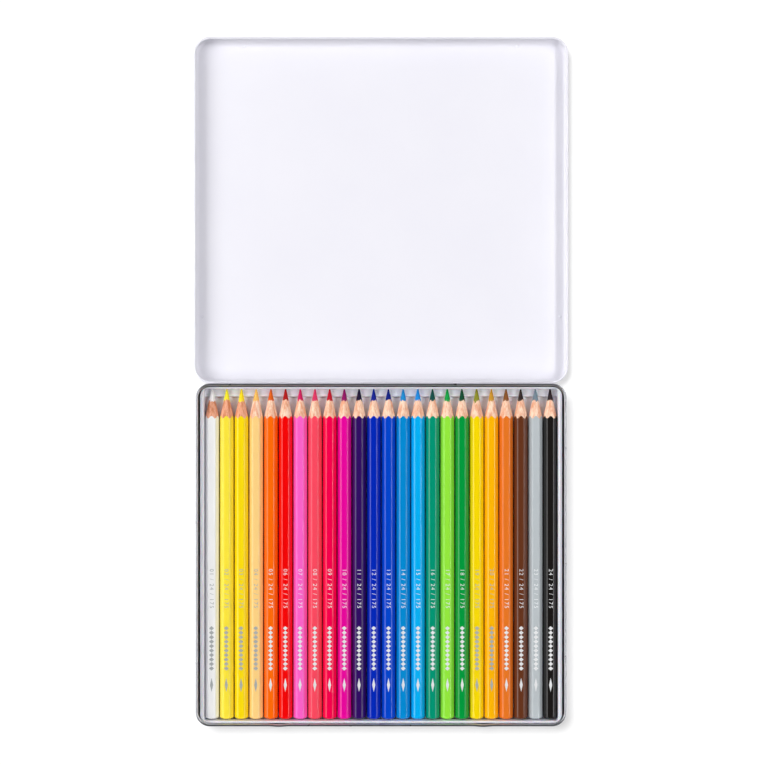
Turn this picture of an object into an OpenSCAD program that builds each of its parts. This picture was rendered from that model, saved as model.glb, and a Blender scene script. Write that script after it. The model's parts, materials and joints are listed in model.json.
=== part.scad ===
// Flat hinged tin for colored pencils. The tin is open, its lid laid back flat on the table with
// the inside up, and the pencils lie side by side in a moulded tray. Millimetres, +Z up, +Y from
// the pencils' blunt ends to the lid. The origin is the middle of the whole open tin, on the table.

/* [Pencils] */
// How many pencils lie side by side
pencil_count = 24; // [16:1:28]
// Length of a pencil, from its blunt end to its tip
pencil_length = 175.6; // [120:0.2:190]
// Height of a barrel between opposite flats
barrel_flats = 6.9; // [6:0.1:7.6]
// Radius of a barrel's rounded corners
barrel_corner_r = 1.5; // [0.5:0.1:2]
// Gap between neighbouring barrels
barrel_gap = 0.32; // [0.2:0.02:1]
// Diameter of the coloured lead
lead_d = 3.1; // [2:0.1:4]
// Gap between the lead and its wooden bore
lead_gap = 0.02; // [0.01:0.01:0.05]
// Half angle of the sharpened cone, in degrees
cone_angle = 12.2; // [8:0.1:16]
// Radius of the blunted tip
tip_r = 0.45; // [0.2:0.05:0.8]
// Radius that rounds the barrel's blunt end
end_r = 1.5; // [0.4:0.1:1.8]
// Depth of wood that closes the blunt end
end_depth = 2; // [1:0.5:6]

/* [Tray] */
// Wall thickness of the moulded tray
tray_wall = 0.5; // [0.3:0.05:0.8]
// Depth of the pocket, from the flange down to the floor
pocket_depth = 8.7; // [8:0.1:10]
// Gap between the pencils and the pocket's walls
pocket_gap = 0.2; // [0.1:0.05:0.5]
// Gap between the pencils and the pocket's floor
floor_gap = 0.05; // [0.05:0.05:0.2]
// Width of the flange beside the outer pencils
flange_side = 2.05; // [1.5:0.05:4]
// Width of the flange past the pencils' ends
flange_end = 0.9; // [0.7:0.1:3]
// Corner radius of the flange
flange_corner_r = 5; // [3:0.1:5.5]
// Gap between the flange and the rim, to each side
flange_gap = 0.75; // [0.1:0.05:1]
// Gap between the flange and the rim at each end, with the tray in the middle
end_gap = 0.4; // [0.2:0.05:0.8]
// How far the tray has slid towards the pencils' blunt ends
tray_slide = 0.2; // [0:0.05:0.3]
// Length of the ledge under the tips
ledge_length = 4.3; // [2:0.1:8]
// Gap between the ledge and the cones above it
ledge_gap = 0.3; // [0.2:0.05:0.8]

/* [Tin] */
// Thickness of the tinplate
sheet = 0.3; // [0.2:0.05:0.4]
// Height of the base's rolled rim
base_height = 12.6; // [12:0.1:16]
// Corner radius of the base, over its rolled rim
base_corner_r = 7.6; // [6:0.2:14]
// Bend radius round the base's bottom edge
base_bend_r = 1.2; // [0.6:0.1:2]
// Diameter of the base's outward rolled rim
rim_d = 1.3; // [1:0.1:1.8]
// Diameter of the lid's inward rolled hem
hem_d = 1.2; // [1:0.1:1.8]
// Gap between the hem and the rim as the lid goes over
lid_gap = 0.4; // [0.3:0.05:0.8]
// Gap between the rim and the closed lid above it
lid_rest_gap = 0.1; // [0.05:0.05:0.5]
// Bend radius round the lid's panel
lid_bend_r = 2.8; // [1.8:0.1:3.4]

/* [Hinge] */
// Gap between the rim and the hem at the hinge, seen from above
rear_gap = 0.05; // [0.05:0.05:0.4]
// Width of each hinge tab
tab_width = 13; // [8:0.5:20]
// Distance between the middles of the two tabs
tab_spacing = 95; // [60:1:100]
// Running gap between a tab and the hem inside it
hinge_gap = 0.08; // [0.05:0.01:0.1]
// Gap between a tab's edge and the end of its slot
slot_gap = 0.3; // [0.2:0.05:1]

/* [Snap bulges and pips] */
// Width of each bulge in the front of the rim
bulge_width = 11.5; // [6:0.5:16]
// Distance between the middles of the two bulges
bulge_spacing = 108; // [60:1:110]
// Gap between a bulge and the hem that passes it
bulge_gap = 0.05; // [0.05:0.05:0.2]
// Diameter of the pips pressed into the lid
pip_d = 1.7; // [1:0.1:2.2]
// Height of the pips above the lid's panel
pip_height = 0.35; // [0.2:0.05:0.5]
// Distance of the pips from the lid's outer face
pip_inset = 4; // [4:0.1:6]
// Distance between the two pips at the lid's far wall
pip_spacing = 146; // [80:1:150]
// Distance of the two side pips from the hinge
pip_reach = 35; // [20:1:100]

/* [Hidden] */
// Small overshoot that carries a cut past the face it opens
cut = 1;
// Flat margin inside a bend, that the panel laps over
panel_lap = 1;
// Room between a barrel's corners and the rounding of its blunt end
end_margin = 0.05;
curve_fn = 64;
arc_steps = 6;

// Rounds a worked-out length to hundredths of a millimetre
function hundredths(x) = round(x * 100) / 100;

// Barrels, set out from the middle of the row
barrel_corner_reach = (barrel_flats / 2 - barrel_corner_r) / cos(30);
barrel_width = 2 * (barrel_corner_reach + barrel_corner_r);
barrel_pitch = hundredths(barrel_width + barrel_gap);
row_width = pencil_count * barrel_pitch - barrel_gap;
envelope_r = barrel_width / 2 + end_margin;

// Tray and tin, each fitted round what lies inside it. The pocket's corners follow the rounded ends
// that lie in them.
pocket_corner_r = end_r;
pocket_width = row_width + 2 * pocket_gap;
pocket_length = pencil_length + 2 * pocket_gap;
flange_width = pocket_width + 2 * flange_side;
flange_length = pocket_length + 2 * flange_end;
base_width = flange_width + 2 * (flange_gap + rim_d);
base_length = flange_length + 2 * (end_gap + rim_d);
tray_shift = min(tray_slide, end_gap / 2);
base_bend = min(base_bend_r, flange_end + end_gap - tray_shift - tray_wall + sheet);
lid_overlap = lid_gap + hem_d;
lid_width = base_width + 2 * lid_overlap;
lid_length = base_length + lid_overlap + rear_gap + hem_d;
lid_corner_r = base_corner_r + lid_overlap;
bulge_out = lid_gap - bulge_gap;

// Heights. The closed lid's bend rests over the rim, and the hinge lies at half that height,
// so that the opened lid lies flat on the table.
pocket_floor = sheet + tray_wall;
flange_top = pocket_floor + pocket_depth;
pencil_axis = pocket_floor + floor_gap + barrel_flats / 2;
bend_reach = lid_bend_r - sheet - lid_rest_gap - rim_d / 2;
bend_offset = max(0, lid_bend_r - hem_d - min(lid_gap, rear_gap) - rim_d / 2);
bend_rise = sqrt(bend_reach * bend_reach - bend_offset * bend_offset);
closed_height = hundredths(base_height - rim_d / 2 - bend_rise + lid_bend_r);
hinge_height = closed_height / 2;

// Places along Y
rear_y = (base_length + bulge_out - rear_gap - lid_length) / 2;
base_y = rear_y - base_length / 2;
lid_y = rear_y + rear_gap + lid_length / 2;
hinge_y = rear_y + rear_gap + hem_d / 2;
tray_y = base_y - tray_shift;
tip_y = tray_y + pencil_length / 2;
ledge_y = tray_y + pocket_length / 2 - ledge_length;
ledge_cone_r = tip_r + (ledge_length - pocket_gap) * tan(cone_angle);
ledge_top = max(pencil_axis - ledge_cone_r - ledge_gap, pocket_floor + tray_wall);

// Hinge tabs, rolled round the hem
tab_inner_r = hem_d / 2 + hinge_gap;
tab_outer_r = tab_inner_r + sheet;
tab_reach = hinge_y - (rear_y - rim_d);
slot_drop = tab_outer_r + slot_gap;

// Lacquer colours, from the tin's left to its right
paint = ["#eeeeea", "#fbe53f", "#fbdb0e", "#fdd07c", "#fe6a08", "#f20506", "#fb61c8", "#fa4a60",
    "#f2004c", "#e2069c", "#320c63", "#0228b0", "#0345cb", "#018ad3", "#08b0f6", "#019573",
    "#94e43e", "#049a3e", "#f7d906", "#ffb705", "#e87422", "#63331f", "#b8bec3", "#1a1715"];

function two_digits(i) = str(i < 10 ? "0" : "", i);
function casing_name(i) = str("pencil_", two_digits(i), "_casing");
function lead_name(i) = str("pencil_", two_digits(i), "_lead");

// ---- Shared shapes ----

module rounded_rectangle(width, length, r) {
    square([width - 2 * r, length], center = true);
    square([width, length - 2 * r], center = true);
    for (x = [-1, 1], y = [-1, 1])
        translate([x * (width / 2 - r), y * (length / 2 - r)])
            circle(r = r, $fn = curve_fn);
}

// Carries a section round a rounded rectangle. The section's x is measured from the corner's axis.
module around(width, length, r) {
    for (turn = [0 : 3]) {
        across = turn % 2 == 0 ? width : length;
        along = turn % 2 == 0 ? length : width;
        rotate([0, 0, 90 * turn]) {
            translate([across / 2 - r, along / 2 - r, 0])
                rotate_extrude(angle = 90, $fn = curve_fn) children();
            translate([across / 2 - r, 0, 0])
                rotate([90, 0, 0]) linear_extrude(along - 2 * r, center = true) children();
        }
    }
}

// Sheet rolled back on itself for three quarters of a turn, open at its lower left
module rolled_edge(d) {
    difference() {
        circle(d = d, $fn = curve_fn);
        circle(d = d - 2 * sheet, $fn = curve_fn);
        translate([-d, -d]) square(d);
    }
}

// Sheet turned up from the panel, with the flat margin that the panel laps over. The bend starts
// at x = 0.
module quarter_bend(r) {
    translate([0, r])
        intersection() {
            difference() {
                circle(r = r, $fn = curve_fn);
                circle(r = r - sheet, $fn = curve_fn);
            }
            translate([0, -r]) square(r);
        }
    translate([-panel_lap, 0]) square([panel_lap, sheet]);
}

// Turns a section drawn in Y and Z into a solid along X
module across_x(width) {
    rotate([90, 0, 90]) linear_extrude(width, center = true) children();
}

// ---- Tin ----

module base_section() {
    wall_x = base_corner_r - rim_d;
    translate([wall_x + sheet - base_bend, 0]) quarter_bend(base_bend);
    translate([wall_x, base_bend]) square([sheet, base_height - rim_d / 2 - base_bend]);
    translate([base_corner_r - rim_d / 2, base_height - rim_d / 2]) rolled_edge(rim_d);
}

module base_shell() {
    around(base_width, base_length, base_corner_r) base_section();
    panel_inset = rim_d - sheet + base_bend;
    linear_extrude(sheet)
        rounded_rectangle(base_width - 2 * panel_inset, base_length - 2 * panel_inset,
            base_corner_r - panel_inset);
}

// Opening that the hinge tab was cut from, in the wall above the tab
module tab_window() {
    window_bottom = hinge_height - tab_inner_r;
    window_top = base_height - rim_d - sheet;
    translate([-tab_width / 2, rear_y - rim_d - cut, window_bottom])
        cube([tab_width, sheet + 1.5 * cut, window_top - window_bottom]);
}

// Tongue out of the base's wall, rolled round the lid's hem
module hinge_tab() {
    translate([0, hinge_y, hinge_height]) across_x(tab_width) {
        difference() {
            circle(r = tab_outer_r, $fn = curve_fn);
            circle(r = tab_inner_r, $fn = curve_fn);
            translate([-2 * tab_outer_r, -2 * tab_outer_r]) square(2 * tab_outer_r);
        }
        translate([-tab_reach, -tab_outer_r]) square([tab_reach, sheet]);
    }
}

// Shallow outward bow of the rim, that the lid's hem snaps over
module rim_bulge() {
    bow_r = (bulge_width * bulge_width / 4 + bulge_out * bulge_out) / (2 * bulge_out);
    front_y = rear_y - base_length;
    intersection() {
        translate([0, front_y - bulge_out + bow_r, base_height - rim_d])
            cylinder(r = bow_r, h = rim_d, $fn = curve_fn);
        translate([0, front_y + (rim_d / 2 - bulge_out - cut) / 2, base_height - rim_d / 2])
            cube([2 * bulge_width, rim_d / 2 + bulge_out + cut, rim_d / 2], center = true);
    }
}

module tin_base() {
    color("#b9bcc0") {
        difference() {
            translate([0, base_y, 0]) base_shell();
            for (side = [-1, 1])
                translate([side * tab_spacing / 2, 0, 0]) tab_window();
        }
        for (side = [-1, 1]) {
            translate([side * tab_spacing / 2, 0, 0]) hinge_tab();
            translate([side * bulge_spacing / 2, 0, 0]) rim_bulge();
        }
    }
}

module lid_section() {
    translate([lid_corner_r - lid_bend_r, 0]) quarter_bend(lid_bend_r);
    translate([lid_corner_r - sheet, lid_bend_r]) square([sheet, hinge_height - lid_bend_r]);
    translate([lid_corner_r - hem_d / 2, hinge_height]) mirror([1, 0]) rolled_edge(hem_d);
}

module lid_shell() {
    around(lid_width, lid_length, lid_corner_r) lid_section();
    linear_extrude(sheet)
        rounded_rectangle(lid_width - 2 * lid_bend_r, lid_length - 2 * lid_bend_r,
            lid_corner_r - lid_bend_r);
}

// Slot in the lid's rear wall, beside the hem, that a hinge tab passes through
module hem_slot() {
    translate([0, hinge_y - hem_d / 2 - cut, hinge_height - slot_drop])
        translate([-(tab_width / 2 + slot_gap), 0, 0])
            cube([tab_width + 2 * slot_gap, cut + sheet * 1.25, slot_drop]);
}

module at_pips() {
    far_y = lid_y + lid_length / 2 - pip_inset;
    for (side = [-1, 1]) {
        translate([side * pip_spacing / 2, far_y, 0]) children();
        translate([side * (lid_width / 2 - pip_inset), hinge_y + pip_reach, 0]) children();
    }
}

// Ball whose cap, pip_d wide, stands pip_height above the origin's plane
module pip_ball() {
    ball_r = (pip_d * pip_d / 4 + pip_height * pip_height) / (2 * pip_height);
    translate([0, 0, pip_height - ball_r]) sphere(r = ball_r, $fn = curve_fn);
}

module tin_lid() {
    color("#ece9f6")
        difference() {
            union() {
                translate([0, lid_y, 0]) lid_shell();
                at_pips() intersection() {
                    translate([0, 0, sheet]) pip_ball();
                    translate([-pip_d, -pip_d, sheet / 2]) cube(2 * pip_d);
                }
            }
            at_pips() pip_ball();
            for (side = [-1, 1])
                translate([side * tab_spacing / 2, 0, 0]) hem_slot();
        }
}

// ---- Tray ----

// The pocket's space, or the skin outside it when grown by the wall. The ledge stays out of it.
module pocket_form(grow, top) {
    bottom = pocket_floor - grow;
    difference() {
        translate([0, tray_y, bottom])
            linear_extrude(top - bottom)
                rounded_rectangle(pocket_width + 2 * grow, pocket_length + 2 * grow,
                    pocket_corner_r + grow);
        translate([-pocket_width, ledge_y + grow, bottom - cut])
            cube([2 * pocket_width, 2 * ledge_length, ledge_top - grow - bottom + cut]);
    }
}

module tray() {
    color("#f4f2fa")
        difference() {
            union() {
                translate([0, tray_y, flange_top - tray_wall])
                    linear_extrude(tray_wall)
                        rounded_rectangle(flange_width, flange_length, flange_corner_r);
                pocket_form(tray_wall, flange_top - tray_wall / 2);
            }
            pocket_form(0, flange_top + cut);
        }
}

// ---- Pencils ----

module barrel_outline() {
    polygon([for (corner = [0 : 60 : 300], side = [-30, 30])
        barrel_corner_reach * [cos(corner), sin(corner)]
            + barrel_corner_r * [cos(corner + side), sin(corner + side)]]);
    for (corner = [0 : 60 : 300])
        rotate(corner) translate([barrel_corner_reach, 0])
            circle(r = barrel_corner_r, $fn = curve_fn);
}

// What sharpening and the rounded end leave of a pencil stood on its blunt end
module turned_envelope() {
    end_arc = [for (k = [0 : arc_steps])
        [envelope_r - end_r, end_r] + end_r * [sin(90 * k / arc_steps), -cos(90 * k / arc_steps)]];
    cone_run = (envelope_r - tip_r * cos(cone_angle)) / tan(cone_angle);
    cone_foot = pencil_length - tip_r + tip_r * sin(cone_angle) - cone_run;
    nose_arc = [for (k = [0 : arc_steps])
        let (a = cone_angle + (90 - cone_angle) * k / arc_steps)
            [k == arc_steps ? 0 : tip_r * cos(a), pencil_length - tip_r + tip_r * sin(a)]];
    rotate_extrude($fn = curve_fn)
        polygon(concat([[0, 0]], end_arc, [[envelope_r, cone_foot]], nose_arc));
}

// Lays a pencil that stands on its blunt end down in its place in the row
module in_row(i) {
    translate([(i - (pencil_count + 1) / 2) * barrel_pitch, tip_y - pencil_length, pencil_axis])
        rotate([-90, 0, 0]) children();
}

module pencil_casing(i) {
    color(paint[(i - 1) % len(paint)])
        in_row(i) difference() {
            intersection() {
                linear_extrude(pencil_length) barrel_outline();
                turned_envelope();
            }
            translate([0, 0, end_depth]) cylinder(d = lead_d, h = pencil_length, $fn = curve_fn);
        }
}

module pencil_lead(i) {
    color(paint[(i - 1) % len(paint)])
        in_row(i) intersection() {
            translate([0, 0, end_depth])
                cylinder(d = lead_d - 2 * lead_gap, h = pencil_length, $fn = curve_fn);
            turned_envelope();
        }
}

tin_base();
tin_lid();
tray();
for (i = [1 : pencil_count]) {
    pencil_casing(i);
    pencil_lead(i);
}
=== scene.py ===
import json
import math

import bmesh
import bpy
from mathutils import Matrix, Vector


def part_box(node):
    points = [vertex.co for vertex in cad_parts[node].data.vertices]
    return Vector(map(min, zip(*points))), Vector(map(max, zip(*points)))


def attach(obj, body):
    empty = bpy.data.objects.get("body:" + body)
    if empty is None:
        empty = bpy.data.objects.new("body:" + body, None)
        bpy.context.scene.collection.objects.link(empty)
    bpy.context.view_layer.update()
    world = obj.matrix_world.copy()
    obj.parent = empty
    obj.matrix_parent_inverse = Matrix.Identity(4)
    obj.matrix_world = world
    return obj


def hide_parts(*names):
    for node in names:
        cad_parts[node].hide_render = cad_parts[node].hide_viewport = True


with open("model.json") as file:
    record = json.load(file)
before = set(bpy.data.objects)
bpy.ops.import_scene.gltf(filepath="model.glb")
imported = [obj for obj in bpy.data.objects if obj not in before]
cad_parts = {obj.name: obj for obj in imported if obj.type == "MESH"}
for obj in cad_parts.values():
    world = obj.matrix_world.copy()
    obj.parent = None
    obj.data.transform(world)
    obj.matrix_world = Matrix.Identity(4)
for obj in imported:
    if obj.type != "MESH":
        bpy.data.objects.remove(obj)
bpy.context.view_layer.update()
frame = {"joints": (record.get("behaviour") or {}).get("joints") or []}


# ---- Base of the tin ----
# One sheet of bare tinplate, drawn into a shallow pan. Its edge is rolled outwards into a rim, and
# two tabs are lanced from the rear wall and rolled round the lid's hem, so they carry the hinge.

MM = 0.001
SHEET = 0.3 * MM
RIM_D = 1.3 * MM
BASE_BEND_R = 0.9 * MM
BASE_CORNER_R = 7.6 * MM
PANEL_MARGIN = 1 * MM
CORNER_STEPS = 12
BASE_BEND_STEPS = 6
ROLL_STEPS = 14
TAB_WIDTH = 13 * MM
TAB_SPACING = 95 * MM
TAB_END_DEGREES = 178
TAB_STEPS = 18
HEM_D = 1.2 * MM
HINGE_GAP = 0.08 * MM
LID_GAP = 0.4 * MM
REAR_GAP = 0.05 * MM
BULGE_WIDTH = 11.5 * MM
BULGE_SPACING = 108 * MM
BULGE_GAP = 0.05 * MM
BULGE_FADE = 1.4 * RIM_D
BULGE_STEPS = 12
SHARP_ANGLE = math.radians(35)

# Places closer than TOUCH count as the same, and points closer than WELD are joined
TOUCH = 0.001 * MM
WELD = 0.0001 * MM

base_low, base_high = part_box("tin_base")
hinge = Vector(next(j["pos_m"] for j in frame["joints"] if j["name"] == "lid_hinge"))
base_height = base_high.z
base_width = base_high.x - base_low.x
base_rear = hinge.y - HEM_D / 2 - REAR_GAP
bulge_out = LID_GAP - BULGE_GAP
base_front = base_low.y + bulge_out
base_length = base_rear - base_front
base_y = (base_rear + base_front) / 2


def linear(colour):
    """An sRGB hex colour as the linear values that a shader takes."""
    parts = [int(colour[i:i + 2], 16) / 255 for i in (1, 3, 5)]
    return [c / 12.92 if c <= 0.04045 else ((c + 0.055) / 1.055) ** 2.4 for c in parts] + [1.0]


def add_node(tree, kind, settings=None, values=None, links=None):
    """Adds a node with its settings, its unlinked sockets' values and its incoming links."""
    node = tree.nodes.new(kind)
    for name, value in (settings or {}).items():
        setattr(node, name, value)
    for socket, value in (values or {}).items():
        node.inputs[socket].default_value = value
    for socket, source in (links or {}).items():
        tree.links.new(source, node.inputs[socket])
    return node


def new_material(name):
    material = bpy.data.materials.new(name)
    material.use_nodes = True
    material.node_tree.nodes.clear()
    return material, material.node_tree


def finish_piece(bm, name, body, materials, replaced=()):
    """Turns a bmesh into a piece that rides on its body, with its hard edges kept sharp."""
    mesh = bpy.data.meshes.new(name)
    bm.to_mesh(mesh)
    bm.free()
    for material in materials:
        mesh.materials.append(material)
    mesh.shade_smooth()
    mesh.set_sharp_from_angle(angle=SHARP_ANGLE)
    piece = bpy.data.objects.new(name, mesh)
    bpy.context.scene.collection.objects.link(piece)
    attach(piece, body)
    if replaced:
        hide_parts(*replaced)
    return piece


def rounded_panel(bm, width, length, corner_r, centre_y, z):
    """A flat panel with round corners, which a sheet's edge is then carried out from."""
    panel = bmesh.ops.create_grid(bm, x_segments=1, y_segments=1, size=0.5)["verts"]
    bmesh.ops.scale(bm, vec=(width, length, 1), verts=panel)
    bmesh.ops.translate(bm, vec=(0, centre_y, z), verts=panel)
    bmesh.ops.bevel(bm, geom=panel, offset=corner_r, offset_type="OFFSET", segments=CORNER_STEPS,
                    profile=0.5, affect="VERTICES", material=-1)
    return [e for e in bm.edges if e.is_boundary]


def extrude(bm, edges):
    """Grows a row of faces from edges, and gives the new points and the new edges."""
    grown = bmesh.ops.extrude_edge_only(bm, edges=edges)["geom"]
    return ([g for g in grown if isinstance(g, bmesh.types.BMVert)],
            [g for g in grown if isinstance(g, bmesh.types.BMEdge)])


def carry_out(bm, edges, corner, outward, z):
    """Extrudes a sheet's edge and moves it outwards from its corners' axes, to the height z."""
    points, edges = extrude(bm, edges)
    for v in points:
        axis = Vector((math.copysign(corner[0], v.co.x),
                       corner[2] + math.copysign(corner[1], v.co.y - corner[2])))
        flat = Vector((v.co.x, v.co.y)) - axis
        flat = axis + flat.normalized() * (flat.length + outward)
        v.co = (flat.x, flat.y, z)
    return edges


def carry_along(bm, edges, corner, path):
    """Carries a sheet's edge along a path of (outward, height) places, the first being its own."""
    for (x0, _), (x1, z1) in zip(path, path[1:]):
        edges = carry_out(bm, edges, corner, x1 - x0, z1)
    return edges


def arc(centre, r, start, end, steps):
    """Places along an arc in a sheet's section, with its angles in degrees."""
    angles = [math.radians(start + (end - start) * k / steps) for k in range(steps + 1)]
    return [(centre[0] + r * math.cos(a), centre[1] + r * math.sin(a)) for a in angles]


def cut_at(bm, axis, places):
    """Adds an edge loop where each plane across an axis meets the mesh."""
    normal = Vector((axis == "x", axis == "y", axis == "z"))
    for place in places:
        bmesh.ops.bisect_plane(bm, geom=bm.verts[:] + bm.edges[:] + bm.faces[:],
                               plane_co=normal * place, plane_no=normal, dist=WELD)


def thicken(bm, thickness, inside=0):
    """Gives a sheet its thickness, half to each side of its middle. The inside, which the panel
    shows from above, takes its own material's number."""
    bmesh.ops.recalc_face_normals(bm, faces=bm.faces)
    if max(bm.faces, key=lambda f: f.calc_area()).normal.z > 0:
        bmesh.ops.reverse_faces(bm, faces=bm.faces)
    bm.normal_update()
    for v in bm.verts:
        v.co += v.normal * (thickness / 2) * v.calc_shell_factor()
    outside = set(bm.faces)
    bmesh.ops.solidify(bm, geom=bm.faces[:], thickness=thickness)
    for f in bm.faces:
        f.material_index = 0 if f in outside else inside
    bmesh.ops.recalc_face_normals(bm, faces=bm.faces)


# The sheet's middle, from the panel out through the bend, the wall and the rolled rim
mid = SHEET / 2
base_axis = (base_width / 2 - BASE_CORNER_R, base_length / 2 - BASE_CORNER_R, base_y)
wall_x = BASE_CORNER_R - RIM_D + mid
bend_x = wall_x + mid - BASE_BEND_R
roll = (BASE_CORNER_R - RIM_D / 2, base_height - RIM_D / 2)
base_path = [(bend_x - PANEL_MARGIN, mid), (bend_x, mid)]
base_path += arc((bend_x, BASE_BEND_R), BASE_BEND_R - mid, -90, 0, BASE_BEND_STEPS)[1:]
base_path += arc(roll, RIM_D / 2 - mid, 180, -90, ROLL_STEPS)

bm = bmesh.new()
inset = BASE_CORNER_R - base_path[0][0]
edge = rounded_panel(bm, base_width - 2 * inset, base_length - 2 * inset, base_path[0][0],
                     base_y, mid)
carry_along(bm, edge, base_axis, base_path)

# The tabs' windows, cut from the rear wall, and the tabs that grow from their lower edges
tab_inner_r = HEM_D / 2 + HINGE_GAP
window_low = hinge.z - tab_inner_r - mid
window_high = base_height - RIM_D - SHEET
tab_edges = [side * TAB_SPACING / 2 + end * TAB_WIDTH / 2 for side in (-1, 1) for end in (-1, 1)]
cut_at(bm, "x", tab_edges)
cut_at(bm, "z", [window_low, window_high])
wall_rear = base_rear - RIM_D + mid


def beside_tab(x):
    return abs(abs(x) - TAB_SPACING / 2) < TAB_WIDTH / 2


window = [f for f in bm.faces if beside_tab(f.calc_center_median().x)
          and abs(f.calc_center_median().y - wall_rear) < mid
          and window_low < f.calc_center_median().z < window_high]
bmesh.ops.delete(bm, geom=window, context="FACES")
tongue = [e for e in bm.edges
          if e.is_boundary and all(v.co.z < window_low + TOUCH for v in e.verts)
          and beside_tab((e.verts[0].co.x + e.verts[1].co.x) / 2)]
tab_path = [(hinge.y, window_low)]
tab_path += arc((hinge.y, hinge.z), tab_inner_r + mid, -90, TAB_END_DEGREES, TAB_STEPS)[1:]
for y, z in tab_path:
    points, tongue = extrude(bm, tongue)
    for v in points:
        v.co.y, v.co.z = y, z

# The two shallow bows in the front of the rim, which the lid's hem snaps over
bow_places = [side * BULGE_SPACING / 2 + BULGE_WIDTH * (k / BULGE_STEPS - 0.5)
              for side in (-1, 1) for k in range(BULGE_STEPS + 1)]
cut_at(bm, "x", bow_places)
for v in bm.verts:
    across = (abs(v.co.x) - BULGE_SPACING / 2) / (BULGE_WIDTH / 2)
    rise = (v.co.z - (base_height - RIM_D - BULGE_FADE)) / BULGE_FADE
    if abs(across) < 1 and v.co.y < base_front + 2 * RIM_D and rise > 0:
        v.co.y -= bulge_out * math.cos(across * math.pi / 2) ** 2 * min(1, rise)
thicken(bm, SHEET, inside=1)

# Tinplate: steel with a bright tin coat, cold rolled. Metallic and cool grey, with faint rolling
# lines a few tenths of a millimetre apart and small scuffs that change its gloss.
tinplate, tree = new_material("tinplate_rolled")
place = add_node(tree, "ShaderNodeTexCoord")
rolled = add_node(tree, "ShaderNodeMapping",
                  values={"Scale": (1 / (25 * MM), 1 / (0.4 * MM), 1 / (0.4 * MM))},
                  links={"Vector": place.outputs["Object"]})
lines = add_node(tree, "ShaderNodeTexNoise", values={"Scale": 1.0, "Detail": 3.0},
                 links={"Vector": rolled.outputs[0]})
scuffs = add_node(tree, "ShaderNodeTexNoise", values={"Scale": 1 / (6 * MM), "Detail": 5.0},
                  links={"Vector": place.outputs["Object"]})
tone = add_node(tree, "ShaderNodeMix", {"data_type": "RGBA"},
                {"A": linear("#aeb0b6"), "B": linear("#d0d1d6")}, {"Factor": scuffs.outputs[0]})
gloss = add_node(tree, "ShaderNodeMapRange", values={"To Min": 0.24, "To Max": 0.34},
                 links={"Value": scuffs.outputs[0]})
relief = add_node(tree, "ShaderNodeBump", values={"Strength": 0.01, "Distance": 0.02 * MM},
                  links={"Height": lines.outputs[0]})
metal = add_node(tree, "ShaderNodeBsdfPrincipled", values={"Metallic": 1.0},
                 links={"Base Color": tone.outputs["Result"], "Roughness": gloss.outputs[0],
                        "Normal": relief.outputs[0]})
add_node(tree, "ShaderNodeOutputMaterial", links={"Surface": metal.outputs[0]})

# White can enamel: a baked epoxy lacquer, roller coated on the sheet's outer side. Cool white with
# a lavender cast, a soft sheen, and a faint orange-peel with waves about two millimetres long.
enamel, tree = new_material("white_baked_enamel")
place = add_node(tree, "ShaderNodeTexCoord")
peel = add_node(tree, "ShaderNodeTexNoise", values={"Scale": 1 / (2.2 * MM), "Detail": 2.0},
                links={"Vector": place.outputs["Object"]})
cloud = add_node(tree, "ShaderNodeTexNoise", values={"Scale": 1 / (45 * MM), "Detail": 3.0},
                 links={"Vector": place.outputs["Object"]})
tone = add_node(tree, "ShaderNodeMix", {"data_type": "RGBA"},
                {"A": linear("#ebeaf3"), "B": linear("#f1f0f7")}, {"Factor": cloud.outputs[0]})
gloss = add_node(tree, "ShaderNodeMapRange", values={"To Min": 0.26, "To Max": 0.34},
                 links={"Value": cloud.outputs[0]})
relief = add_node(tree, "ShaderNodeBump", values={"Strength": 0.10, "Distance": 0.02 * MM},
                  links={"Height": peel.outputs[0]})
coat = add_node(tree, "ShaderNodeBsdfPrincipled", values={"IOR": 1.5},
                links={"Base Color": tone.outputs["Result"], "Roughness": gloss.outputs[0],
                       "Normal": relief.outputs[0]})
add_node(tree, "ShaderNodeOutputMaterial", links={"Surface": coat.outputs[0]})
finish_piece(bm, "base_shell", "base", [enamel, tinplate], ["tin_base"])


# ---- Lid of the tin ----
# A second tinplate pan, coated white before it was drawn, shown with its inside up. Its edge is
# rolled inwards into a hem, and beside each tab the wall is slotted so that the tab reaches the hem.

LID_BEND_R = 2.8 * MM
LID_BEND_STEPS = 10
SLOT_GAP = 0.3 * MM
SLOT_DROP = 1.28 * MM
PIP_FOOT_R = 1.105 * MM
PIP_HEIGHT = 0.35 * MM
PIP_RINGS = 8
PIP_SPOKES = 24
PIP_INSET = 4 * MM
PIP_SPACING = 146 * MM
PIP_REACH = 35 * MM

lid_low, lid_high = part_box("tin_lid")
lid_width = lid_high.x - lid_low.x
lid_length = lid_high.y - lid_low.y
lid_y = (lid_high.y + lid_low.y) / 2
lid_corner_r = BASE_CORNER_R + LID_GAP + HEM_D
lid_axis = (lid_width / 2 - lid_corner_r, lid_length / 2 - lid_corner_r, lid_y)
lid_bend_x = lid_corner_r - LID_BEND_R
lid_path = [(lid_bend_x - PANEL_MARGIN, mid), (lid_bend_x, mid)]
lid_path += arc((lid_bend_x, LID_BEND_R), LID_BEND_R - mid, -90, 0, LID_BEND_STEPS)[1:]
lid_path += arc((lid_corner_r - HEM_D / 2, hinge.z), HEM_D / 2 - mid, 0, 270, ROLL_STEPS)

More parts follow.
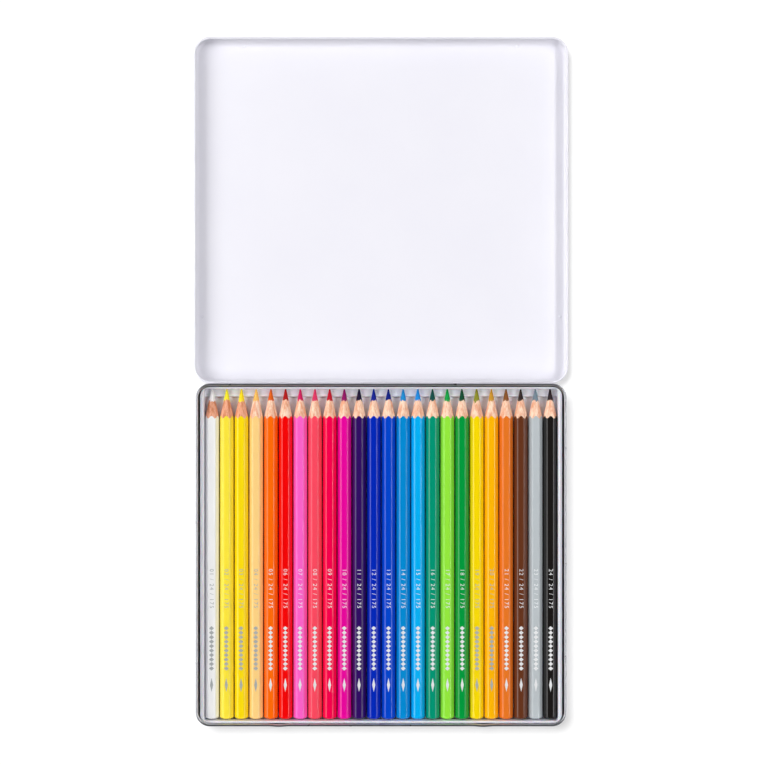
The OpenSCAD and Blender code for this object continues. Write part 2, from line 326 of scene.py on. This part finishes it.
bm = bmesh.new()
inset = lid_corner_r - lid_path[0][0]
edge = rounded_panel(bm, lid_width - 2 * inset, lid_length - 2 * inset, lid_path[0][0], lid_y, mid)
carry_along(bm, edge, lid_axis, lid_path)
slot_edges = [side * TAB_SPACING / 2 + end * (TAB_WIDTH / 2 + SLOT_GAP)
              for side in (-1, 1) for end in (-1, 1)]
cut_at(bm, "x", slot_edges)
cut_at(bm, "z", [hinge.z - SLOT_DROP])
slot_faces = [f for f in bm.faces
              if abs(abs(f.calc_center_median().x) - TAB_SPACING / 2) < TAB_WIDTH / 2 + SLOT_GAP
              and abs(f.calc_center_median().y - lid_low.y - mid) < TOUCH
              and hinge.z - SLOT_DROP < f.calc_center_median().z < hinge.z]
bmesh.ops.delete(bm, geom=slot_faces, context="FACES")
thicken(bm, SHEET)

# Pips pressed up from the panel, each a low bell turned about its own middle
pips = [(side * PIP_SPACING / 2, lid_high.y - PIP_INSET) for side in (-1, 1)]
pips += [(side * (lid_width / 2 - PIP_INSET), hinge.y + PIP_REACH) for side in (-1, 1)]
shares = [k / PIP_RINGS for k in range(PIP_RINGS + 1)]
bell = [(PIP_FOOT_R * s, SHEET + PIP_HEIGHT * (1 + math.cos(math.pi * s)) / 2) for s in shares]
bell.append((0, mid))


def near_pip(bm, x, y):
    return [v for v in bm.verts if (v.co.xy - Vector((x, y))).length < PIP_FOOT_R + TOUCH]


for x, y in pips:
    outline = [bm.verts.new((x + r, y, z)) for r, z in bell]
    rib = [bm.edges.new(pair) for pair in zip(outline, outline[1:])]
    bmesh.ops.spin(bm, geom=outline + rib, cent=(x, y, 0), axis=(0, 0, 1), angle=2 * math.pi,
                   steps=PIP_SPOKES, use_merge=True)
    bmesh.ops.remove_doubles(bm, verts=near_pip(bm, x, y), dist=WELD)
    pressed = {f for v in near_pip(bm, x, y) for f in v.link_faces}
    bmesh.ops.recalc_face_normals(bm, faces=list(pressed))

finish_piece(bm, "lid_shell", "lid", [enamel], ["tin_lid"])


# ---- Tray ----
# One sheet of white polystyrene, vacuum formed over a plug, so every edge is softly rounded. It
# drops into the base, its flange spans the room beside the pencils, and a ledge lies under the tips.

TRAY_WALL = 0.5 * MM
POCKET_CORNER_R = 1.5 * MM
POCKET_GAP = 0.2 * MM
FLANGE_CORNER_R = 4.7 * MM
FLANGE_END = 0.9 * MM
FLANGE_TRIM = 0.15 * MM
FLOOR_MARGIN = 0.2 * MM
FILLET_R = 0.6 * MM
LIP_R = 0.26 * MM
FILLET_STEPS = 5
LEDGE_LENGTH = 4.3 * MM
LEDGE_GAP = 0.3 * MM
LEDGE_EDGE_R = 0.5 * MM
LEDGE_CORNER_STEPS = 6
PENCILS = 24
TIP_R = 0.45 * MM
CONE_ANGLE = math.radians(12.2)

tray_low, tray_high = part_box("tray")
numbers = [f"{i:02d}" for i in range(1, PENCILS + 1)]
barrels = [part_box(f"pencil_{number}_casing") for number in numbers]
pocket_width = barrels[-1][1].x - barrels[0][0].x + 2 * POCKET_GAP
pocket_length = tray_high.y - tray_low.y - 2 * FLANGE_END
tray_y = (tray_low.y + tray_high.y) / 2
pocket_rear = tray_y + pocket_length / 2
tray_mid = TRAY_WALL / 2
floor_z = tray_low.z + tray_mid
flange_z = tray_high.z - tray_mid
axis_z = (barrels[0][0].z + barrels[0][1].z) / 2
ledge_top = axis_z - TIP_R - (LEDGE_LENGTH - POCKET_GAP) * math.tan(CONE_ANGLE) - LEDGE_GAP

bm = bmesh.new()
pocket_r = POCKET_CORNER_R + tray_mid
pocket_axis = (pocket_width / 2 + tray_mid - pocket_r, pocket_length / 2 + tray_mid - pocket_r,
               tray_y)
floor_in = pocket_r - FILLET_R
pocket_path = [(floor_in - FLOOR_MARGIN, floor_z), (floor_in, floor_z)]
pocket_path += arc((floor_in, floor_z + FILLET_R), FILLET_R, -90, 0, FILLET_STEPS)[1:]
pocket_path += arc((pocket_r + LIP_R, flange_z - LIP_R), LIP_R, 180, 90, FILLET_STEPS)
panel_r = pocket_path[0][0]
edge = rounded_panel(bm, 2 * (pocket_axis[0] + panel_r), 2 * (pocket_axis[1] + panel_r), panel_r,
                     tray_y, floor_z)
edge = carry_along(bm, edge, pocket_axis, pocket_path)

# The flange runs out to its own rounded outline, and leaves a dark gap beside the tin's wall
flange_half = Vector((tray_high.x - FLANGE_TRIM, (tray_high.y - tray_low.y) / 2))
points, _ = extrude(bm, edge)
for v in points:
    side, end = math.copysign(1, v.co.x), math.copysign(1, v.co.y - tray_y)
    turn = (v.co.xy - Vector((side * pocket_axis[0], tray_y + end * pocket_axis[1]))).normalized()
    v.co.x = side * (flange_half.x - FLANGE_CORNER_R) + turn.x * FLANGE_CORNER_R
    v.co.y = tray_y + end * (flange_half.y - FLANGE_CORNER_R) + turn.y * FLANGE_CORNER_R
thicken(bm, TRAY_WALL)

# The ledge across the pocket's rear end, under the pencils' tips
ledge = bmesh.ops.create_cube(bm, size=1)["verts"]
bmesh.ops.scale(bm, vec=(pocket_width + TRAY_WALL, LEDGE_LENGTH + tray_mid, ledge_top - floor_z),
                verts=ledge)
ledge_middle = (0, pocket_rear - (LEDGE_LENGTH - tray_mid) / 2, (ledge_top + floor_z) / 2)
bmesh.ops.translate(bm, vec=ledge_middle, verts=ledge)
sides = [e for v in ledge for e in v.link_edges]
upright = {e for e in sides if e.verts[0].co.xy == e.verts[1].co.xy and e.verts[0].co.y > pocket_rear}
bmesh.ops.bevel(bm, geom=list(upright), offset=pocket_r, segments=LEDGE_CORNER_STEPS, profile=0.5,
                affect="EDGES", material=-1)
ledge_front = pocket_rear - LEDGE_LENGTH
lip = [e for e in bm.edges if all(abs(v.co.z - ledge_top) < TOUCH and v.co.y < ledge_front + TOUCH
                                  for v in e.verts)]
bmesh.ops.bevel(bm, geom=lip, offset=LEDGE_EDGE_R, segments=FILLET_STEPS, profile=0.5,
                affect="EDGES", material=-1)

# High-impact polystyrene sheet, vacuum formed: opaque cool white with a low gloss, and a slight
# unevenness, a few millimetres across, where the sheet was drawn thin.
styrene, tree = new_material("vacuum_formed_polystyrene")
place = add_node(tree, "ShaderNodeTexCoord")
drawn = add_node(tree, "ShaderNodeTexNoise", values={"Scale": 1 / (5 * MM), "Detail": 2.0},
                 links={"Vector": place.outputs["Object"]})
tone = add_node(tree, "ShaderNodeMix", {"data_type": "RGBA"},
                {"A": linear("#ecebf6"), "B": linear("#f4f4fb")}, {"Factor": drawn.outputs[0]})
relief = add_node(tree, "ShaderNodeBump", values={"Strength": 0.15, "Distance": 0.05 * MM},
                  links={"Height": drawn.outputs[0]})
plastic = add_node(tree, "ShaderNodeBsdfPrincipled",
                   values={"IOR": 1.59, "Roughness": 0.32, "Subsurface Weight": 0.15,
                           "Subsurface Scale": 0.5 * MM},
                   links={"Base Color": tone.outputs["Result"], "Normal": relief.outputs[0]})
add_node(tree, "ShaderNodeOutputMaterial", links={"Surface": plastic.outputs[0]})
finish_piece(bm, "tray_shell", "base", [styrene], ["tray"])


# ---- Pencil casings ----
# Two slats of soft wood glued round the lead and milled to a hexagon with rounded corners, then
# dipped in several coats of gloss lacquer. Sharpening cuts the lacquer back in scallops.

BARREL_FLATS = 6.9 * MM
BARREL_CORNER_R = 1.5 * MM
BARREL_CORNER_STEPS = 8
FLAT_CUTS = 9
LEAD_D = 3.1 * MM
END_DOME = 1.7 * MM
END_STEPS = 9
END_MARGIN = 0.05 * MM
END_DEPTH = 2 * MM
WOOD_STEPS = 6
SMEAR_DEPTH = 5 * MM
SMEAR_START = 0.36 * SMEAR_DEPTH
SMEAR_BLUR = 0.06 * MM

LACQUERS = ["#f6f6f6", "#fbe53f", "#fbdb0e", "#fdd284", "#fe6a08", "#f40506", "#fb61c8", "#fa4a60",
            "#f6004c", "#e8069c", "#320c63", "#0228b8", "#0345cb", "#018ad3", "#04b0f4", "#019573",
            "#94e83e", "#029a3e", "#f8d904", "#ffb705", "#e87724", "#66351e", "#bcc3c7", "#1b1817"]
LEADS = ["#f6f2f2", "#f0e52c", "#f6d820", "#f4bc60", "#d85c12", "#aa1214", "#cc1a5c", "#d83462",
         "#bc0a28", "#8c0c60", "#1c0f34", "#10208e", "#061b7a", "#1688cc", "#1c88d8", "#0a4a44",
         "#109c44", "#0c4a30", "#888828", "#c6902c", "#865228", "#322624", "#728492", "#302529"]
RED_WOOD = ("#f2b090", "#cf7c52")
PALE_WOOD = ("#fcdcc2", "#e6a07c")
RED_WOOD_COUNT = 3

middles = [(low.x + high.x) / 2 for low, high in barrels]
across_corners = barrels[0][1].x - barrels[0][0].x
envelope_r = across_corners / 2 + END_MARGIN
end_y = barrels[0][0].y
tip_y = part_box("pencil_01_lead")[1].y


def on_cone(radius):
    """The sharpened cone's point with this radius, as (radius, place along Y)."""
    nose_y = tip_y - TIP_R + TIP_R * math.sin(CONE_ANGLE)
    return radius, nose_y - (radius - TIP_R * math.cos(CONE_ANGLE)) / math.tan(CONE_ANGLE)


def toned(colour, share):
    """A linear colour made darker, or lighter where the share is above 1."""
    return [min(1, c * share) for c in colour[:3]] + [1.0]


def casing_mesh(bm, x):
    """A casing round its bore: face material 0 is lacquered barrel and 1 is bare wood. Gives the
    edges where the lacquer ends."""
    hexagon = bmesh.ops.create_circle(bm, segments=6, radius=BARREL_FLATS / math.sqrt(3))["verts"]
    first = hexagon[0].co
    bmesh.ops.rotate(bm, verts=hexagon, matrix=Matrix.Rotation(-math.atan2(first.y, first.x), 3, "Z"))
    round_cut = BARREL_CORNER_R * math.tan(math.radians(30))
    bmesh.ops.bevel(bm, geom=hexagon, offset=round_cut, offset_type="OFFSET",
                    segments=BARREL_CORNER_STEPS, profile=0.5, affect="VERTICES", material=-1)
    flats = [e for e in bm.edges if e.calc_length() > BARREL_CORNER_R]
    bmesh.ops.subdivide_edges(bm, edges=flats, cuts=FLAT_CUTS)
    bmesh.ops.rotate(bm, verts=bm.verts, matrix=Matrix.Rotation(math.pi / 2, 3, "X"))
    first_ring = [e for e in bm.edges if e.is_wire or e.is_boundary]
    full_radii = {}

    def place_points(points, place_of):
        """Moves a ring's points, each to the radius and the Y that its barrel's radius gives."""
        for v in points:
            flat = Vector((v.co.x, 0, v.co.z))
            angle = round(math.atan2(v.co.z, v.co.x), 4)
            radius, y = place_of(full_radii.setdefault(angle, flat.length))
            v.co = flat.normalized() * radius + Vector((0, y, 0))

    def next_ring(ring, place_of):
        points, ring = extrude(bm, ring)
        place_points(points, place_of)
        return ring

    end_steps = [(envelope_r * math.sin(a), end_y + END_DOME * (1 - math.cos(a)))
                 for a in [math.pi / 2 * k / END_STEPS for k in range(1, END_STEPS + 1)]]
    straight_y = end_y + 3 * END_DOME
    place_points(bm.verts, lambda full: (min(full, end_steps[0][0]), end_y))
    ring = first_ring
    for limit, y in end_steps[1:] + [(envelope_r, straight_y)]:
        ring = next_ring(ring, lambda full: (min(full, limit), y))
    ring = next_ring(ring, on_cone)
    scallop = set(ring)
    bmesh.ops.contextual_create(bm, geom=first_ring)
    barrel_faces = set(bm.faces)
    for k in range(1, WOOD_STEPS + 1):
        ring = next_ring(ring, lambda full: on_cone(full + (LEAD_D / 2 - full) * k / WOOD_STEPS))
    ring = next_ring(ring, lambda full: (LEAD_D / 2, end_y + END_DEPTH))
    bmesh.ops.contextual_create(bm, geom=ring)
    for f in bm.faces:
        f.material_index = 0 if f in barrel_faces else 1
    bmesh.ops.recalc_face_normals(bm, faces=bm.faces)
    bmesh.ops.translate(bm, vec=(x, 0, axis_z), verts=bm.verts)
    return scallop


def lacquer(name, colour):
    """Gloss nitrocellulose lacquer, dipped: full colour under a clear even shine, with waves
    from the wood beneath, about a millimetre wide and many times as long, along the barrel."""
    material, tree = new_material(name)
    place = add_node(tree, "ShaderNodeTexCoord")
    along = add_node(tree, "ShaderNodeMapping",
                     values={"Scale": (1 / (1.2 * MM), 1 / (14 * MM), 1 / (1.2 * MM))},
                     links={"Vector": place.outputs["Object"]})
    grain = add_node(tree, "ShaderNodeTexNoise", values={"Scale": 1.0, "Detail": 2.0},
                     links={"Vector": along.outputs[0]})
    full = linear(colour)
    tone = add_node(tree, "ShaderNodeMix", {"data_type": "RGBA"},
                    {"A": toned(full, 0.93), "B": full}, {"Factor": grain.outputs[0]})
    relief = add_node(tree, "ShaderNodeBump", values={"Strength": 0.025, "Distance": 0.03 * MM},
                      links={"Height": grain.outputs[0]})
    shader = add_node(tree, "ShaderNodeBsdfPrincipled", values={"IOR": 1.52, "Roughness": 0.1},
                      links={"Base Color": tone.outputs["Result"], "Normal": relief.outputs[0]})
    add_node(tree, "ShaderNodeOutputMaterial", links={"Surface": shader.outputs[0]})
    return material


def bare_wood(name, pale, dark, pigment):
    """Basswood, cut across by a sharpener: matt, with fibres about half a millimetre wide that run
    along the pencil, broader dark streaks, and pigment dragged from the lead onto its end."""
    material, tree = new_material(name)
    place = add_node(tree, "ShaderNodeTexCoord")
    along = add_node(tree, "ShaderNodeMapping",
                     values={"Scale": (1 / (0.45 * MM), 1 / (7 * MM), 1 / (0.45 * MM))},
                     links={"Vector": place.outputs["Object"]})
    fibre = add_node(tree, "ShaderNodeTexNoise",
                     values={"Scale": 1.0, "Detail": 4.0, "Roughness": 0.65},
                     links={"Vector": along.outputs[0]})
    rings = add_node(tree, "ShaderNodeMapping",
                     values={"Scale": (1 / (1.5 * MM), 1 / (30 * MM), 1 / (1.1 * MM))},
                     links={"Vector": place.outputs["Object"]})
    growth = add_node(tree, "ShaderNodeTexNoise", values={"Scale": 1.0, "Detail": 2.0},
                      links={"Vector": rings.outputs[0]})
    mixed = add_node(tree, "ShaderNodeMath", {"operation": "MULTIPLY"},
                     links={0: fibre.outputs[0], 1: growth.outputs[0]})
    spread = add_node(tree, "ShaderNodeMapRange", values={"From Min": 0.16, "From Max": 0.32},
                      links={"Value": mixed.outputs[0]})
    tone = add_node(tree, "ShaderNodeMix", {"data_type": "RGBA"},
                    {"A": linear(dark), "B": linear(pale)}, {"Factor": spread.outputs[0]})
    around = add_node(tree, "ShaderNodeMapping",
                      values={"Scale": (1 / (1.3 * MM), 0, 1 / (1.3 * MM))},
                      links={"Vector": place.outputs["Object"]})
    ragged = add_node(tree, "ShaderNodeTexNoise", values={"Scale": 1.0, "Detail": 3.0},
                      links={"Vector": around.outputs[0]})
    split = add_node(tree, "ShaderNodeSeparateXYZ", links={0: place.outputs["Object"]})
    reach = add_node(tree, "ShaderNodeMath", {"operation": "MULTIPLY_ADD"}, {1: SMEAR_DEPTH},
                     {0: ragged.outputs[0], 2: split.outputs["Y"]})
    edge_y = on_cone(LEAD_D / 2)[1] + SMEAR_START
    smear = add_node(tree, "ShaderNodeMapRange",
                     values={"From Min": edge_y - SMEAR_BLUR, "From Max": edge_y + SMEAR_BLUR},
                     links={"Value": reach.outputs[0]})
    stained = add_node(tree, "ShaderNodeMix", {"data_type": "RGBA"}, {"B": linear(pigment)},
                       {"Factor": smear.outputs[0], "A": tone.outputs["Result"]})
    relief = add_node(tree, "ShaderNodeBump", values={"Strength": 0.35, "Distance": 0.05 * MM},
                      links={"Height": fibre.outputs[0]})
    shader = add_node(tree, "ShaderNodeBsdfPrincipled", values={"IOR": 1.5, "Roughness": 0.65},
                      links={"Base Color": stained.outputs["Result"], "Normal": relief.outputs[0]})
    add_node(tree, "ShaderNodeOutputMaterial", links={"Surface": shader.outputs[0]})
    return material


# The scalloped edge, where the lacquer ends, stays sharp in the finished mesh
for i, number in enumerate(numbers):
    bm = bmesh.new()
    scallop = casing_mesh(bm, middles[i])
    bm.edges.index_update()
    hard = [e.index for e in scallop]
    pale, dark = RED_WOOD if i < RED_WOOD_COUNT else PALE_WOOD
    wood = bare_wood(f"basswood_{number}", pale, dark, LEADS[i])
    casing = finish_piece(bm, f"casing_{number}", f"pencil_{number}",
                          [lacquer(f"gloss_lacquer_{number}", LACQUERS[i]), wood],
                          [f"pencil_{number}_casing"])
    for index in hard:
        casing.data.edges[index].use_edge_sharp = True


# ---- Foil stamps ----
# Silver foil pressed on each pencil's top facet with a hot die: its place of 24 and its length of
# 175 mm, a chain of lozenges and one long lozenge. The film is a hundredth of a millimetre thick.

FOIL = 0.01 * MM
FIGURES_Y = -99.65 * MM
FIGURES_HEIGHT = 3.0 * MM
FIGURES_SPACING = 1.3
LOZENGE_WIDTH = 2.6 * MM
LOZENGE_LENGTH = 2.3 * MM
CHAIN_Y = -131.15 * MM
CHAIN_PITCH = 1.03 * LOZENGE_LENGTH
CHAIN_COUNT = 10
LAST_Y = -161.2 * MM
LAST_LENGTH = 7.4 * MM
LAST_WIDTH = 1.7 * MM
STAMPED_LENGTH = 175
PALE_PENCILS = ("01", "02", "03", "04", "19", "20")


def stamping_foil(name, dark, bright):
    """Vacuum-deposited aluminium under a clear film. Satin, with a slight mottle where the hot
    die pressed unevenly."""
    material, tree = new_material(name)
    place = add_node(tree, "ShaderNodeTexCoord")
    mottle = add_node(tree, "ShaderNodeTexNoise", values={"Scale": 1 / (0.5 * MM), "Detail": 3.0},
                      links={"Vector": place.outputs["Object"]})
    tone = add_node(tree, "ShaderNodeMix", {"data_type": "RGBA"},
                    {"A": linear(dark), "B": linear(bright)}, {"Factor": mottle.outputs[0]})
    shader = add_node(tree, "ShaderNodeBsdfPrincipled", values={"Metallic": 0.2, "Roughness": 0.4},
                      links={"Base Color": tone.outputs["Result"]})
    add_node(tree, "ShaderNodeOutputMaterial", links={"Surface": shader.outputs[0]})
    return material


silver_foil = stamping_foil("silver_stamping_foil", "#e4e6e9", "#fafafa")
grey_foil = stamping_foil("grey_stamping_foil", "#959b9d", "#c3c6c6")
facet_z = axis_z + BARREL_FLATS / 2 + FOIL / 2


def stamp_figures(bm, text, height, x, y):
    """Figures that start at a place on a pencil and read towards its blunt end."""
    figures = bpy.data.curves.new("figures", "FONT")
    figures.body = text
    figures.size = height
    figures.space_character = FIGURES_SPACING
    figures.align_y = "CENTER"
    holder = bpy.data.objects.new("figures", figures)
    bpy.context.scene.collection.objects.link(holder)
    graph = bpy.context.evaluated_depsgraph_get()
    flat = bpy.data.meshes.new_from_object(holder.evaluated_get(graph))
    bpy.data.objects.remove(holder)
    flat.transform(Matrix.Translation((x, y, 0)) @ Matrix.Rotation(-math.pi / 2, 4, "Z"))
    bm.from_mesh(flat)


def stamp_lozenge(bm, width, length, x, y):
    lozenge = bmesh.ops.create_circle(bm, cap_ends=True, segments=4, radius=0.5)["verts"]
    bmesh.ops.scale(bm, vec=(width, length, 1), verts=lozenge)
    bmesh.ops.translate(bm, vec=(x, y, 0), verts=lozenge)


for number, x in zip(numbers, middles):
    bm = bmesh.new()
    stamp_figures(bm, f"{number} / {PENCILS} / {STAMPED_LENGTH}", FIGURES_HEIGHT, x, FIGURES_Y)
    for k in range(CHAIN_COUNT):
        stamp_lozenge(bm, LOZENGE_WIDTH, LOZENGE_LENGTH, x, CHAIN_Y - k * CHAIN_PITCH)
    stamp_lozenge(bm, LAST_WIDTH, LAST_LENGTH, x, LAST_Y)
    bmesh.ops.translate(bm, vec=(0, 0, facet_z), verts=bm.verts)
    bmesh.ops.solidify(bm, geom=bm.faces[:], thickness=FOIL)
    bmesh.ops.recalc_face_normals(bm, faces=bm.faces)
    foil = grey_foil if number in PALE_PENCILS else silver_foil
    finish_piece(bm, f"foil_{number}", f"pencil_{number}", [foil])


# ---- Leads ----
# A rod of wax, clay and pigment in each bore, sharpened to a blunt point with its casing. It is
# matt to silky, and its colour is deeper than the lacquer outside.

LEAD_GAP = 0.02 * MM
LEAD_SPOKES = 32
NOSE_STEPS = 6
CONE_LEAD_IN = 3 * MM

rod_r = LEAD_D / 2 - LEAD_GAP
rod_end = end_y + END_DEPTH
cone_start = on_cone(rod_r)[1]
nose = [(TIP_R * math.cos(a), tip_y - TIP_R + TIP_R * math.sin(a))
        for a in [CONE_ANGLE + (math.pi / 2 - CONE_ANGLE) * k / NOSE_STEPS for k in range(NOSE_STEPS)]]
outline = [(0, rod_end), (rod_r, rod_end), (rod_r, cone_start - CONE_LEAD_IN), (rod_r, cone_start)]
outline += nose + [(0, tip_y)]

for i, number in enumerate(numbers):
    x = middles[i]
    bm = bmesh.new()
    rim = [bm.verts.new((x + r, y, axis_z)) for r, y in outline]
    line = [bm.edges.new(pair) for pair in zip(rim, rim[1:])]
    bmesh.ops.spin(bm, geom=rim + line, cent=(x, 0, axis_z), axis=(0, 1, 0), angle=2 * math.pi,
                   steps=LEAD_SPOKES, use_merge=True)
    bmesh.ops.remove_doubles(bm, verts=bm.verts, dist=WELD)
    bmesh.ops.recalc_face_normals(bm, faces=bm.faces)
    wax, tree = new_material(f"pigment_wax_{number}")
    place = add_node(tree, "ShaderNodeTexCoord")
    grit = add_node(tree, "ShaderNodeTexNoise", values={"Scale": 1 / (0.25 * MM), "Detail": 3.0},
                    links={"Vector": place.outputs["Object"]})
    full = linear(LEADS[i])
    tone = add_node(tree, "ShaderNodeMix", {"data_type": "RGBA"},
                    {"A": toned(full, 0.85), "B": toned(full, 1.15)},
                    {"Factor": grit.outputs[0]})
    relief = add_node(tree, "ShaderNodeBump", values={"Strength": 0.3, "Distance": 0.03 * MM},
                      links={"Height": grit.outputs[0]})
    shader = add_node(tree, "ShaderNodeBsdfPrincipled",
                      values={"IOR": 1.45, "Roughness": 0.5, "Specular IOR Level": 0.15},
                      links={"Base Color": tone.outputs["Result"], "Normal": relief.outputs[0]})
    add_node(tree, "ShaderNodeOutputMaterial", links={"Surface": shader.outputs[0]})
    finish_piece(bm, f"lead_{number}", f"pencil_{number}", [wax], [f"pencil_{number}_lead"])


# ---- Setting ----
# A plain white floor between two soft boxes, a wide one on the left and a narrow one on the right,
# with broad fills that glossy surfaces don't mirror. The walls round them are white low down and
# dark overhead.

FLOOR_HALF = 3.0
FLOOR_DROP = 0.01 * MM
CAMERA_HEIGHT = 950 * MM

bm = bmesh.new()
bmesh.ops.create_grid(bm, x_segments=1, y_segments=1, size=FLOOR_HALF)
mesh = bpy.data.meshes.new("floor")
bm.to_mesh(mesh)
bm.free()
floor = bpy.data.objects.new("floor", mesh)
floor.location.z = -FLOOR_DROP
bpy.context.scene.collection.objects.link(floor)


def shown_to(tree):
    """1 for the rays that show a background: the camera's own, mirrored and transmitted ones."""
    ray = add_node(tree, "ShaderNodeLightPath")
    mirrored = add_node(tree, "ShaderNodeMath", {"operation": "MAXIMUM"},
                        links={0: ray.outputs["Is Camera Ray"], 1: ray.outputs["Is Glossy Ray"]})
    return add_node(tree, "ShaderNodeMath", {"operation": "MAXIMUM"},
                    links={0: mirrored.outputs[0], 1: ray.outputs["Is Transmission Ray"]})


sweep, tree = new_material("white_sweep")
paper = add_node(tree, "ShaderNodeBsdfDiffuse", values={"Color": linear("#d8d8d8")})
shade = add_node(tree, "ShaderNodeBsdfDiffuse", values={"Color": linear("#b0b0b0")})
glow = add_node(tree, "ShaderNodeEmission", values={"Strength": 0.62})
lifted = add_node(tree, "ShaderNodeAddShader", links={0: shade.outputs[0], 1: glow.outputs[0]})
either = add_node(tree, "ShaderNodeMixShader",
                  links={"Fac": shown_to(tree).outputs[0], 1: paper.outputs[0], 2: lifted.outputs[0]})
add_node(tree, "ShaderNodeOutputMaterial", links={"Surface": either.outputs[0]})
mesh.materials.append(sweep)

world = bpy.data.worlds.new("studio")
bpy.context.scene.world = world
world.use_nodes = True
tree = world.node_tree
tree.nodes.clear()
place = add_node(tree, "ShaderNodeTexCoord")
split = add_node(tree, "ShaderNodeSeparateXYZ", links={0: place.outputs["Generated"]})
fill = add_node(tree, "ShaderNodeMapRange",
                values={"From Min": 0.4, "From Max": 0.8, "To Min": 0.16, "To Max": 0.02},
                links={"Value": split.outputs["Z"]})
wall = add_node(tree, "ShaderNodeMapRange",
                values={"From Min": 0.3, "From Max": 0.5, "To Min": 1.0, "To Max": 0.02},
                links={"Value": split.outputs["Z"]})
dim = add_node(tree, "ShaderNodeBackground", links={"Strength": fill.outputs[0]})
white = add_node(tree, "ShaderNodeBackground", links={"Strength": wall.outputs[0]})
either = add_node(tree, "ShaderNodeMixShader",
                  links={"Fac": shown_to(tree).outputs[0], 1: dim.outputs[0], 2: white.outputs[0]})
add_node(tree, "ShaderNodeOutputWorld", links={"Surface": either.outputs[0]})


def link_to_floor(holder, state):
    """Makes a lamp light the floor and nothing else, with INCLUDE, or all but the floor."""
    lit = bpy.data.collections.new(f"{holder.name}_lights")
    lit.objects.link(floor)
    lit.collection_objects[0].light_linking.link_state = state
    holder.light_linking.receiver_collection = lit


def soft_light(name, place, size, power, mirrored=True):
    """A soft box aimed at the hinge, with its size along the tin and across it."""
    lamp = bpy.data.lights.new(name, "AREA")
    lamp.shape = "RECTANGLE"
    lamp.size, lamp.size_y = size
    lamp.energy = power
    holder = bpy.data.objects.new(name, lamp)
    holder.location = place
    holder.rotation_euler = (-Vector(place)).to_track_quat("-Z", "Y").to_euler()
    holder.visible_glossy = mirrored
    bpy.context.scene.collection.objects.link(holder)
    link_to_floor(holder, "EXCLUDE")


soft_light("left_softbox", (-1.26, 0.0, 1.0), (1.5, 1.0), 12.5)
soft_light("left_fill", (-1.30, 0.0, 1.03), (1.5, 1.0), 11.2, mirrored=False)
soft_light("right_strip", (0.92, 0.0, 1.06), (1.5, 0.22), 9.0)
soft_light("right_fill", (0.8, 0.1, 1.1), (1.2, 0.8), 3.0, mirrored=False)
soft_light("rear_fill", (-0.45, 0.8, 1.7), (0.8, 0.6), 6.5, mirrored=False)

# A light for the floor alone, high on the upper left, so that the tin's shadow stays short
sun = bpy.data.lights.new("floor_sun", "SUN")
sun.energy = 3.5
sun.angle = math.radians(26)
holder = bpy.data.objects.new("floor_sun", sun)
holder.rotation_euler = Vector((0.63, -0.72, -1.8)).to_track_quat("-Z", "Y").to_euler()
bpy.context.scene.collection.objects.link(holder)
link_to_floor(holder, "INCLUDE")

# The camera looks straight down, a little beside the middle of the open tin's hinge line
lens = bpy.data.cameras.new("camera")
lens.sensor_width = 36
lens.lens = 83.6
camera = bpy.data.objects.new("camera", lens)
camera.location = (0.74 * MM, -0.8 * MM, CAMERA_HEIGHT)
bpy.context.scene.collection.objects.link(camera)
bpy.context.scene.camera = camera
bpy.context.scene.view_settings.view_transform = "Standard"
